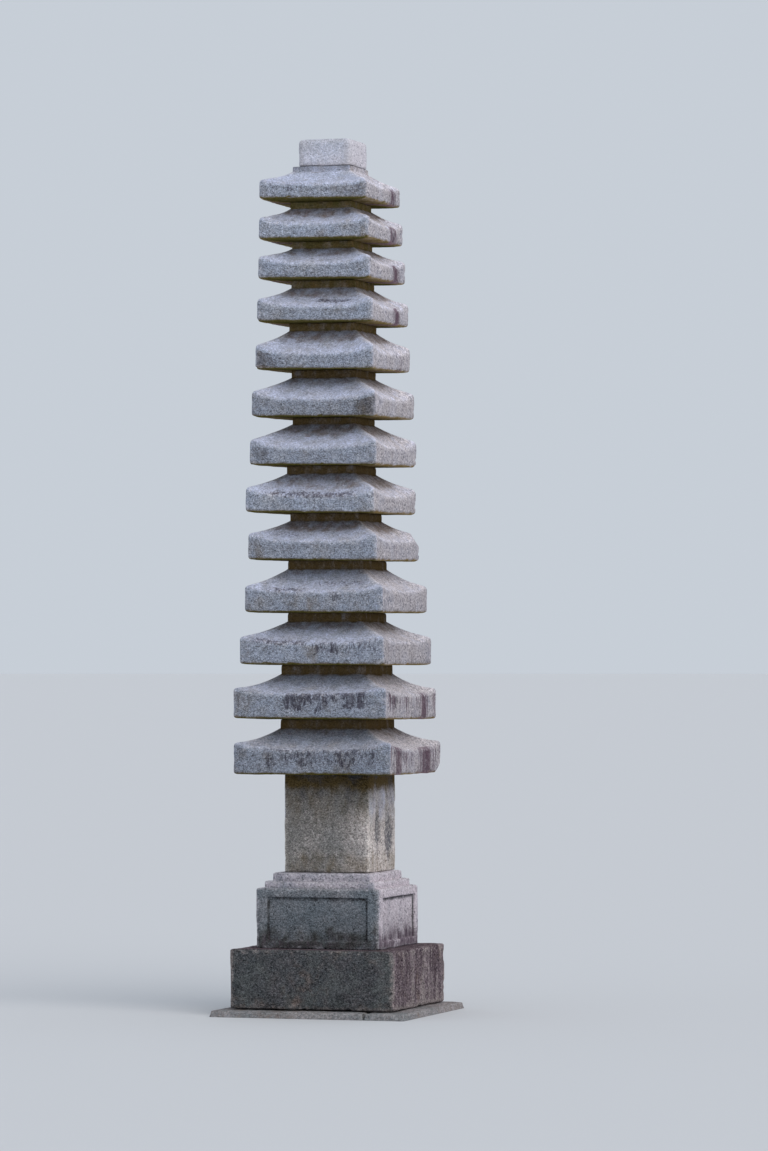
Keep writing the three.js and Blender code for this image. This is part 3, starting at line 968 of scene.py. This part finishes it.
def body_marks(rings, columns, points, edge, upright):
    """Ochre where the eave keeps it dry, stains below, and a right side that is rubbed pale."""
    height, along = rings["height"], columns["along"]
    right = columns["face"] == RIGHT
    dry = ramp(height + 0.02 * noise(points, 0.05), BODY_HEIGHT - 0.10, BODY_HEIGHT - 0.02)
    wet, high, low = 1 - dry, ramp(height, 0.22, 0.42), ramp(0.26 - height, 0, 0.14)
    spots = (s * bump(along, spot, w) * bump(height, z, tall) for s, spot, w, z, tall in BODY_BLOTS)
    blots = right * sum(spots)
    fine = tall_noise(points, 0.10, 0.016) + 0.6 * tall_noise(points, 0.12, 0.045)
    stains = runs(columns, BODY_SIDE / 2, BODY_STREAKS)
    corner = np.where(right, bump(along, -1, 0.22), bump(along, 1, 0.5))
    lichen = side_lichen_and_shade(columns) * (0.8 - 0.5 * corner * (1 - high)) + 0.45 * high * corner + 0.10 * fine
    return {
        "lichen": upright * lichen,
        "ochre": dry * 1.5 + 0.20 * upright * (ramp(height, 0.1, 0.4) + 1.2 * ramp(height, 0.14, 0.04)),
        "grime_and_shade": stains * high + 0.5 * bump(height, BODY_HEIGHT, 14 * MM) + 0.50 * blots * (1 + 0.6 * fine),
        "crust": np.clip(0.75 * blots * (1 + 0.4 * fine) + 0.10, 0, 0.66),
        "tone": 0.14 * right * low + 0.05 * right + 0.16 * corner * (1 - right) * wet,
        "clean": 0.35 * right * upright * ramp(height, 0.20, 0.34) * wet,
        "worn": np.clip(edge * 0.35 * wet + right * upright * (0.28 + 0.25 * fine) * wet, 0, 0.8),
    }


piece = build("first_storey_body", *first_storey_body(), MATERIALS["body_granite"])

# %% [markdown]
# ## Thirteen roofs
# Each roof is one stone: a square slab with an upright eave, a hollow slope, and the low body of the
# next storey. The eave is higher at its corners, and that lift fades up the slope. All thirteen could be
# copies of one, but no two real ones are alike, so a table gives each stone's own sizes, from the lowest
# to the highest, in millimetres, degrees, and millimetres a metre for the dip of slabs that were not cut
# quite true.

# %% Roof sizes
ROOF_FIELDS = (
    "side", "eave", "rise", "slope", "straight", "slip", "turn", "dip_x", "dip_y",
    "neck_side", "neck", "neck_slip",
)
ROOF_ROWS = (
    (790, 118, 34, 101, 0.42, 8, 0.1, 0, 0, 434, 43, 0),
    (770, 120, 28, 96, 0.32, -1, -0.6, -3, -6, 422, 43, 9),
    (729, 106, 28, 101, 0.6, 5, -0.6, -5, 2, 374, 42, 5),
    (698, 100, 28, 109, 0.6, 9, -0.1, -4, 6, 376, 41, 5),
    (654, 93, 34, 96, 0.65, -1, -0.6, -14, 12, 347, 37, 10),
    (654, 82, 38, 107, 0.7, -14, 0, -14, 10, 340, 38, 2),
    (642, 86, 36, 112, 0.8, 0, 0.2, -10, 16, 314, 32, 1),
    (627, 88, 36, 102, 0.75, 1, 0.3, -10, 16, 322, 37, 2),
    (598, 80, 40, 107, 0.65, 1, 0.5, -14, 20, 334, 36, 0),
    (587, 77, 36, 93, 0.55, 3, 0.6, -16, 4, 318, 35, 0),
    (569, 79, 34, 75, 0.5, 0, 0.2, -14, 4, 307, 33, 2),
    (559, 76, 34, 82, 0.5, -3, 0.5, -8, -10, 310, 32, 0),
    (547, 75, 22, 71, 0.5, -7, 0.3, -18, -16, 290, 24, 4),
)
print("height of all roofs in mm:", sum(row[1] + row[3] + row[10] for row in ROOF_ROWS))

# %% [markdown]
# ## What water has drawn on each roof
# A second table says what stains each roof has and where, as the photograph shows them. Their
# outlines are left to noise. Tone makes the whole front lighter. Shelter is how far up the slope the
# dry, dark part begins, and dark is how dark that is; that darkness is partly stain and partly painted
# shade from the roof above. Streaks run down an eave, hooks hang in rows from its upper edge, blots are
# round spots of black lichen, tides are thin dark lines across the front's slope, and lines is the
# strength of fine runs on the right.

# %% Roof stains
# streaks: face, place along it from -1 to 1, width in metres, strength. hooks: face, start, end, strength.
# blots: face, place, height as a share of the eave, size in metres, strength.
# tides: how far up the slope, start, end, strength.
STAIN_FIELDS = ("tone", "shelter", "dark", "stains")
ROOF_STAINS = (
    (0.05, 0.80, 0.45, {
        "streaks": [(RIGHT, 0.42, 0.130, 1.08), (RIGHT, -0.74, 0.070, 0.90)], "lines": 0.72,
        "hooks": [(FRONT, -0.6, 0.85, 0.44), (RIGHT, -0.95, -0.45, 0.42)]}),
    (0.19, 0.85, 0.35, {
        "streaks": [(RIGHT, 0.50, 0.060, 0.92)], "lines": 0.60, "blots": [(FRONT, -0.15, 0.86, 0.06, 0.40)],
        "hooks": [(FRONT, -0.34, 0.80, 0.63), (RIGHT, -0.98, -0.55, 0.45)]}),
    (0.27, 0.70, 0.50, {
        "hooks": [(FRONT, 0.03, 0.38, 0.50), (FRONT, 0.44, 0.97, 0.38)],
        "tides": [(0.06, -0.90, -0.05, 0.85)]}),
    (0.20, 0.88, 0.25, {
        "hooks": [(FRONT, 0.24, 0.40, 0.60)],
        "tides": [(0.12, -0.75, -0.15, 0.85), (0.42, -0.05, 0.90, 0.55)]}),
    (0.23, 0.50, 0.66, {"tides": [(0.30, -0.80, -0.20, 0.50)]}),
    (0.36, 0.42, 0.44, {"tides": [(0.10, -0.70, 0.75, 0.92)]}),
    (0.24, 0.58, 0.60, {"blots": [(FRONT, -0.8, 0.5, 0.035, 0.45)]}),
    (0.14, 0.70, 0.38, {"blots": [(FRONT, 0.90, 0.25, 0.06, 0.95)]}),
    (0.29, 0.58, 0.55, {
        "streaks": [(RIGHT, 0.42, 0.04, 0.55)], "blots": [(FRONT, -1.0, 0.6, 0.10, 0.62)]}),
    (0.31, 0.56, 0.47, {
        "streaks": [(RIGHT, 0.33, 0.060, 0.98)], "tides": [(0.34, -0.10, 0.75, 0.95)]}),
    (0.36, 0.60, 0.48, {"streaks": [(RIGHT, 0.44, 0.062, 1.02)]}),
    (0.49, 0.55, 0.70, {"streaks": [(RIGHT, 0.42, 0.060, 1.02)]}),
    (0.49, 0.97, 0.20, {
        "streaks": [(RIGHT, 0.53, 0.066, 0.90)], "blots": [(FRONT, 0.95, 0.55, 0.05, 0.5)],
        "hooks": [(FRONT, -0.9, 0.95, 0.25)]}),
)
print("roofs with streaks:", sum("streaks" in row[-1] for row in ROOF_STAINS))

# %% [markdown]
# ## The shape of a roof
# The slope is a mix of a straight line and a parabola: with t from 0 at the eave to 1 at the low body,
# the height is straight times t plus the rest times t squared. The rings of the profile follow it, so
# one formula makes every slope, steep or flat, and the worn brow of the eave is a wide rounding.

# %% Roof shape
SEAT_MARGIN = 30 * MM
SLOPE_PLACES = np.concatenate([[0, 0.23], np.linspace(0.26, 1, 20)])
NECK_CORNER = 7 * MM
HIP_SOFTNESS = 9 * MM
LOWER_EDGE = 15 * MM
ROOF_CORE = 8 * MM


def roof_rings(roof, seat_side):
    """Rings of a roof stone: flat seat, underside, eave, slope, low body and its flat top."""
    half, neck_half = roof["side"] / 2, roof["neck_side"] / 2
    slope = [
        ring(
            half=half + (neck_half - half) * t,
            corner=roof["round"] + (NECK_CORNER - roof["round"]) * t + HIP_SOFTNESS * 4 * t * (1 - t),
            height=roof["eave"] + roof["slope"] * (roof["straight"] * t + (1 - roof["straight"]) * t * t),
            rise=1 - t, tilt=1 - t, shift=roof["neck_slip"] * t, climb=t,
        )
        for t in SLOPE_PLACES
    ]
    given = [
        ring(half=ROOF_CORE),
        ring(half=seat_side / 2 + SEAT_MARGIN, corner=roof["round"]),
        ring(half=half, corner=roof["round"], tilt=1),
        *slope,
        ring(half=neck_half, corner=NECK_CORNER, height=roof["top"], shift=roof["neck_slip"], climb=1),
        ring(half=ROOF_CORE, height=roof["top"], shift=roof["neck_slip"], climb=1),
    ]
    rounding = [0, 0, LOWER_EDGE, roof["brow"]] + [0] * (len(slope) - 1) + [5 * MM, 0]
    steps = [2, 9, 13, 2] + [1] * (len(slope) - 2) + [5, 3]
    return climb_up(given, rounding, steps)


# %% [markdown]
# ## Stains on a roof
# Each kind of stain in the table has its own small function, which turns its rows into a mark from 0 to
# about 1 at every point. A stain is a span along the side times a part of the height, and tall noise
# tears it into drops and lines.

# %% Stains on a roof
CORE_WIDTH, CORE_STRENGTH = 0.45, 0.66


def streak_marks(rings, columns, points, roof, on_eave, sunny):
    """Two marks: the streaks and fine lines of an eave, and the cores of the streaks, which are
    narrower and darker."""
    streaks, half = roof["stains"].get("streaks", ()), roof["side"] / 2
    fine = tall_noise(points, 0.06, 0.009)
    reach = np.maximum(on_eave, ramp(0.2 - rings["climb"], 0, 0.15))
    broad = runs(columns, half, streaks) * reach * (0.84 + 0.45 * fine)
    from_edge = 1 - rings["height"] / roof["eave"]
    lines = roof["stains"].get("lines", 0.15) * on_eave * sunny * (1 - 0.5 * ramp(from_edge, 0.2, 0.9))
    narrow = [(face, spot, CORE_WIDTH * w, CORE_STRENGTH * strength) for face, spot, w, strength in streaks]
    cores = runs(columns, half, narrow) * on_eave * (0.92 + 0.25 * noise(points, 0.03))
    return np.maximum(broad, lines * np.clip(0.3 + 1.4 * fine, 0, 1.2)), cores


def hook_marks(rings, columns, points, roof):
    """Rows of hooks: from the eave's upper edge down to a wavy line, torn apart by tall noise."""
    share = rings["height"] / roof["eave"]
    hang = ramp(share + 0.35 * noise(points, 0.03), 0.30, 0.60) * (rings["climb"] < 0.06)
    apart = 1.0 + 0.45 * tall_noise(points, 0.2, 0.022)
    hooks = 0.0
    for face, start, end, strength in roof["stains"].get("hooks", ()):
        span = between(columns["along"], start, end, 0.06) * (columns["face"] == face)
        hooks = np.maximum(hooks, strength * span * hang * apart)
    return hooks


def tide_marks(rings, columns, points, roof):
    """Lines across the front's slope: a hill of the climb, made wavy, within a span of the side."""
    tides = 0.0
    for level, start, end, strength in roof["stains"].get("tides", ()):
        span = between(columns["along"], start, end, 0.15) * (columns["face"] == FRONT)
        line = bump(rings["climb"] + 0.05 * noise(points, 0.10), level, 0.15) * (rings["climb"] > 0)
        tides = np.maximum(tides, strength * span * line)
    return tides


def blot_marks(rings, columns, roof, on_eave):
    """Round spots on the eave: a hill along the side times a hill up the eave."""
    share = rings["height"] / roof["eave"]
    blots = 0.0
    for face, spot, level, size, strength in roof["stains"].get("blots", ()):
        near = bump(columns["along"], spot, 2 * size / roof["side"]) * bump(share, level, size / roof["eave"])
        blots = np.maximum(blots, strength * near * (columns["face"] == face) * on_eave)
    return blots


# %% [markdown]
# ## What grows where on a roof
# What rain reaches is washed pale or grown with lichen, and what it never reaches is ochre, olive or
# dark. Light and shade are painted in as well: undersides darker towards the neck and on the shaded
# sides, with a painted highlight along their rim, the top of the neck and the upper slope darker under
# the roof above, and washed slopes and hips lighter. The marks could be painted by hand, but worked out
# from the shape they fit all thirteen roofs: the underside looks down, the neck is the end of the climb,
# and the sunny faces look along x.

# %% Roof marks
def roof_marks(rings, columns, points, roof, edge):
    """All marks of a roof, each a sum of the places where it grows times how much grows there."""
    height, climb = rings["height"], rings["climb"]
    under, sunny = downward(points), columns["normal"][:, 0] ** 2
    on_eave, on_slope = (climb == 0) * (1 - under), climb > 0
    neck = ramp(climb + 0.03 * noise(points, 0.03), 0.93, 0.999)
    wavy = climb + 0.10 * noise(points, 0.15) + 0.06 * noise(points, 0.04)
    dry = ramp(wavy, roof["shelter"] - 0.10, roof["shelter"] + 0.14) * on_slope
    dry_rim = bump(wavy, roof["shelter"] - 0.02, 0.05) * on_slope
    wet_neck = 1 - neck * roof["dry_neck"]
    washed_and_lit = ramp(climb, -0.01, 0.06) * (1 - 0.40 * ramp(wavy, 0.25, 0.80)) * wet_neck
    drip_edge = bump(height, 3 * MM, 7 * MM) * (climb == 0)
    underside_rim_highlight = bump(rings["half"], roof["side"] / 2, 22 * MM)
    # Darker at the top of the neck, under the roof above: partly dirt in the joint, partly painted shade.
    joint_dirt_and_shade = bump(height, roof["top"], 9 * MM) * neck
    # Pale line along the hips: partly wear, partly a painted highlight on the ridge.
    from_hip = (1 - np.abs(columns["along"])) * rings["half"]
    hip_wear_and_highlight = bump(from_hip, 0, 13 * MM) * ramp(climb, 0.05, 0.25) * (1 - neck)

    streak, cores = streak_marks(rings, columns, points, roof, on_eave, sunny)
    tides, blots = tide_marks(rings, columns, points, roof), blot_marks(rings, columns, roof, on_eave)
    hooks = np.maximum(hook_marks(rings, columns, points, roof), 0.66 * tides)
    # The upper slope under the roof above is darker, less on the sunny sides: partly stain, partly painted
    # shade.
    dark = 0.95 * roof["dark"] * dry * (1 - neck) * (1 - 0.25 * sunny) + 0.15 * dry_rim
    dark = np.maximum(np.maximum(dark, 0.22 * tides), 0.15 * blots)
    crust = on_eave * (0.34 - 0.22 * sunny) + 0.10 * on_slope * (1 - neck) + 0.06 * noise(points, 0.11)
    rusty = on_eave * ramp(noise(points, 0.07) + 0.5 * noise(points, 0.03), 0.0, 0.9) * (1 - 0.6 * sunny)
    # Undersides get thick, very dark ochre and moss, less on the sunny sides: partly sheltered stain, partly
    # painted shade.
    ochre = 1.35 * roof["dry_neck"] * neck + under * (1.2 - 0.2 * sunny) + 0.30 * drip_edge
    moss = under * (0.80 - 0.45 * sunny) * (1 - neck) + 0.35 * drip_edge * (1 - sunny)
    tone = 1.4 * roof["neck_moss"] * neck + roof["tone"] * (1 - sunny) * (1 - 0.5 * neck - 0.8 * washed_and_lit)
    # Washed slopes are lighter, most on the sunny sides, and their blue clean skin sits mostly on the shaded
    # sides: partly rain-washed stone, partly painted sky light.
    tone = tone + washed_and_lit * (0.14 + 0.24 * sunny) + roof["sun_tone"] * sunny
    return {
        "lichen": side_lichen_and_shade(columns) * (1 - under) * wet_neck * (1 - 0.35 * washed_and_lit) * (1 - 0.20 * dry),
        "clean": washed_and_lit * roof["washed_and_lit"] * (1 - 0.75 * sunny),
        "crust": np.clip(crust * (1 - under) + 0.72 * blots, 0, 0.85),
        "hooks": np.maximum(hooks, cores),
        "ochre": np.clip(ochre + 0.20 * sunny * dry, 0, 1.4) + 0.15 * rusty,
        "moss": moss + roof["neck_moss"] * neck,
        "grime_and_shade": np.clip(dark + 0.42 * drip_edge * (1 - under), 0, 1),
        "drip": streak,
        "worn": np.clip(edge * 0.32 * (1 - under) * (1 - neck) + 0.55 * hip_wear_and_highlight, 0, 1),
        # Painted light on the undersides: lighter on the sunny sides and along the outer rim.
        "tone": tone + under * (sunny + 0.5 * underside_rim_highlight) - 0.30 * joint_dirt_and_shade,
    }


# %% [markdown]
# ## Laying the roofs
# The roofs are laid from below, as on the real tower: each stands on the low body of the one before, so
# its foot is that stone's top, and its flat seat is a little wider than that body. Some things change
# from roof to roof so evenly that a few numbers and straight lines between them say it all. Three of
# the roofs have a broken corner.

# %% Lay the roofs
CHANGES = {
    # at these roofs, counted from below, it has these strengths
    "dry_neck": ((8, 11, 12, 13), (0.98, 0.95, 0.88, 0.04)),
    "neck_moss": ((8, 11, 12, 13), (0.0, 0.55, 0.60, 0.0)),
    "sun_tone": ((1, 2, 3, 4, 10, 13), (0.06, 0.08, -0.02, 0.03, 0.18, 0.18)),
    "washed_and_lit": ((1, 3, 6, 11, 13), (0.10, 0.34, 0.50, 0.53, 0.47)),
}
# A point that the break passes through, in millimetres, and the way the break faces.
BROKEN_CORNERS = {
    1: ((395, 300, 0), (1 / 32, 1 / 95, -1 / 50)),
    5: ((327, 260, 93), (1 / 30, 1 / 90, 1 / 45)),
    7: ((319, 257, 0), (1 / 22, 1 / 65, -1 / 26)),
}
UNITS = {"straight": 1.0, "turn": math.pi / 180}
HAIR = 0.1 * MM


def lay_roof(number, sizes, looks, foot, seat_side):
    """Shapes, wears, marks and builds one roof on top of what has been laid."""
    roof = {name: value * UNITS.get(name, MM) for name, value in zip(ROOF_FIELDS, sizes)}
    roof.update(zip(STAIN_FIELDS, looks))
    roof.update((name, np.interp(number, *table)) for name, table in CHANGES.items())
    roof["round"] = (8 + 0.8 * number) * MM
    roof["brow"] = (15 + 0.45 * number) * MM
    roof["top"] = roof["eave"] + roof["slope"] + roof["neck"]
    half, columns, rings = roof["side"] / 2, ROOF_WALK, roof_rings(roof, seat_side)
    points = surface(rings, columns, roof["rise"], (roof["dip_x"], roof["dip_y"]))
    edge = block_edges(rings, columns, half, roof["eave"], 14 * MM, near_rim(rings, half, 40 * MM, 5 * MM))
    edge = np.maximum(edge, 0.6 * near_edges(rings, [(roof["neck_side"] / 2, roof["top"])], 8 * MM))
    off_seat = ramp(rings["half"], seat_side / 2 + 5 * MM, seat_side / 2 + SEAT_MARGIN)
    free = np.where(rings["height"] < HAIR, off_seat, 1.0) * (rings["height"] < roof["top"] - HAIR)
    points = wear(points, edge, free)
    if number in BROKEN_CORNERS:
        at, towards = BROKEN_CORNERS[number]
        points = chip(points, np.array(at) * MM, towards, 12 * MM)
    points = place(points, foot, roof["slip"], roof["turn"])
    marks = roof_marks(rings, columns, points, roof, edge)
    build(f"roof_{number:02d}", points, marks, MATERIALS["roof_granite"])
    return foot + roof["top"], roof["neck_side"]


foot, seat_side = BODY_FOOT + BODY_HEIGHT, BODY_SIDE
for number, (sizes, looks) in enumerate(zip(ROOF_ROWS, ROOF_STAINS), start=1):
    foot, seat_side = lay_roof(number, sizes, looks, foot, seat_side)

# %% [markdown]
# ## Finial base
# On top stands a small square block, the palest stone. The finial that it carried is lost. Its edges
# are rubbed round, and a square socket for the finial's tenon goes down from its top. The socket could
# be cut out, but the profile can simply turn down into it, so the stone stays one grid.

# %% Finial base
FINIAL_BASE_SIDE = 268 * MM
FINIAL_BASE_HEIGHT = 133 * MM
FINIAL_BASE_CORNER = 20 * MM
FINIAL_BASE_SLIP = 9 * MM
FINIAL_BASE_TURN = math.radians(-0.5)
SOCKET_SIDE = 90 * MM
SOCKET_DEPTH = 60 * MM
SOCKET_CORNER = 4 * MM


def finial_base():
    """A small block whose profile goes over the top edge and down into the socket."""
    half, hole = FINIAL_BASE_SIDE / 2, SOCKET_SIDE / 2
    columns = walk(np.linspace(-1, 1, 40))
    outline = [
        (half, FINIAL_BASE_CORNER, 0),
        (half, FINIAL_BASE_CORNER, FINIAL_BASE_HEIGHT),
        (hole, SOCKET_CORNER, FINIAL_BASE_HEIGHT),
        (hole, SOCKET_CORNER, FINIAL_BASE_HEIGHT - SOCKET_DEPTH),
    ]
    rings = block_rings(outline, 6 * MM, (7 * MM, 28 * MM, 4 * MM, 5 * MM), steps=(4, 16, 10, 9, 4))
    upright = near_rim(rings, half, 20 * MM, 4 * MM)
    edge = block_edges(rings, columns, half, FINIAL_BASE_HEIGHT, 14 * MM, upright)
    free = near_rim(rings, half, 40 * MM, 10 * MM)
    points = wear(surface(rings, columns), edge, free, rub=1 * MM, flake=3 * MM, waves=0.5, inward_only=True)
    points = place(points, foot, FINIAL_BASE_SLIP, FINIAL_BASE_TURN)
    in_socket = (1 - ramp(rings["half"], hole - MM, hole + 8 * MM)) * ramp(rings["height"], 0.02, 0.05)
    return points, {
        "lichen": side_lichen_and_shade(columns) * (0.30 + 0.35 * ramp(rings["height"], 0.03, 0.11)),
        "crust": 0.20 + 0.20 * noise(points, 0.05) + 0.10 * noise(points, 0.018),
        "grime_and_shade": 0.75 * in_socket + 0.4 * bump(rings["height"], 0, 10 * MM),
        "worn": edge * 0.8,
        "tone": 0.10 * noise(points, 0.05),
    }


piece = build("finial_base", *finial_base(), MATERIALS["finial_base_granite"])

# %% [markdown]
# ## Last look at the sizes
# The dressed tower must fill the same box as the solids. Both boxes are printed, so that they can
# be compared.

# %% Sizes and finish
seen_low, seen_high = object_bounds()
sizes = {"solids": [list(solid_low), list(solid_high)], "seen": [list(seen_low), list(seen_high)]}
print("solids:", [round(n, 3) for n in (*solid_low, *solid_high)])
print("seen:  ", [round(n, 3) for n in (*seen_low, *seen_high)])
print("triangles:", sum(len(p.data.loops) - 2 * len(p.data.polygons) for p in pieces.values()))
